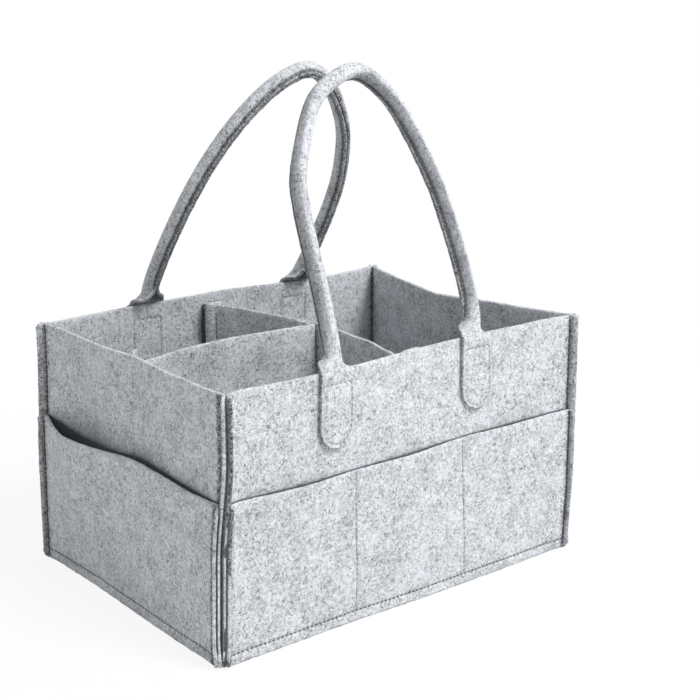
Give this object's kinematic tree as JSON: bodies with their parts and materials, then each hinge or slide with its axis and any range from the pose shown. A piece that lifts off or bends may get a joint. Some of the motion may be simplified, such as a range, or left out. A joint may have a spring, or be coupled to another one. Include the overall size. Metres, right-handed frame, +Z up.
{
  "type": "diaper caddy",
  "caption": "Open-top felt diaper caddy with sewn outside pockets, standing corner seams, swinging strap handles and a lift-out T-shaped felt divider with a hinged wing.",
  "frame": {"origin": "on the ground below the middle of the box", "axes": "+X towards the right end as seen from the front, +Y towards the back, +Z up"},
  "size_m": [0.3684, 0.2689, 0.3963],
  "materials": {
    "felt": "heathered grey needle felt, matt and slightly hairy",
    "thread": "matching grey sewing thread",
    "hook_tape": "woven grey hook-and-loop tape"
  },
  "bodies": {
    "caddy": {"front_panel": "felt", "front_pocket": "felt", "front_hem_seam": "thread", "front_pocket_row_1": "thread", "front_pocket_row_2": "thread", "front_right_corner_seam": "thread", "front_handle_left_tab": "felt", "front_handle_left_tab_seam": "thread", "front_handle_right_tab": "felt", "front_handle_right_tab_seam": "thread", "right_end_panel": "felt", "right_end_pocket": "felt", "right_end_hem_seam": "thread", "back_right_corner_seam": "thread", "back_panel": "felt", "back_pocket": "felt", "back_hem_seam": "thread", "back_pocket_row_1": "thread", "back_pocket_row_2": "thread", "back_left_corner_seam": "thread", "back_handle_left_tab": "felt", "back_handle_left_tab_seam": "thread", "back_handle_right_tab": "felt", "back_handle_right_tab_seam": "thread", "left_end_panel": "felt", "left_end_pocket": "felt", "left_end_hem_seam": "thread", "front_left_corner_seam": "thread", "floor_panel": "felt", "front_wall_tape": "hook_tape", "front_wall_tape_seam": "thread", "back_wall_tape": "hook_tape", "back_wall_tape_seam": "thread", "left_end_wall_tape": "hook_tape", "left_end_wall_tape_seam": "thread"},
    "front_handle": {"front_handle_grip": "felt", "front_handle_seam": "thread"},
    "back_handle": {"back_handle_grip": "felt", "back_handle_seam": "thread"},
    "divider": {"cross_divider": "felt", "wing_flap": "felt", "cross_divider_back_tape": "hook_tape", "cross_divider_front_tape": "hook_tape", "cross_divider_back_seam": "thread", "cross_divider_front_seam": "thread", "wing_flap_seam": "thread"},
    "divider_wing": {"wing_divider": "felt", "wing_tape": "hook_tape"}
  },
  "joints": [
    {"name": "front_handle_swing", "type": "hinge", "parent": "caddy", "child": "front_handle", "pos_m": [0, -0.12261, 0.192], "axis": [0.9976, 0.0697, 0], "range_deg": [-4, 160]},
    {"name": "back_handle_swing", "type": "hinge", "parent": "caddy", "child": "back_handle", "pos_m": [0, 0.12261, 0.192], "axis": [-0.9965, 0.0836, 0], "range_deg": [-2, 168]},
    {"name": "divider_lift", "type": "slide", "parent": "caddy", "child": "divider", "axis": [0, 0, 1], "range_m": [0, 0.12]},
    {"name": "wing_swing", "type": "hinge", "parent": "divider", "child": "divider_wing", "pos_m": [0.00862, 0.002, 0.1], "axis": [0, 0, 1], "range_deg": [-15, 15]}
  ]
}
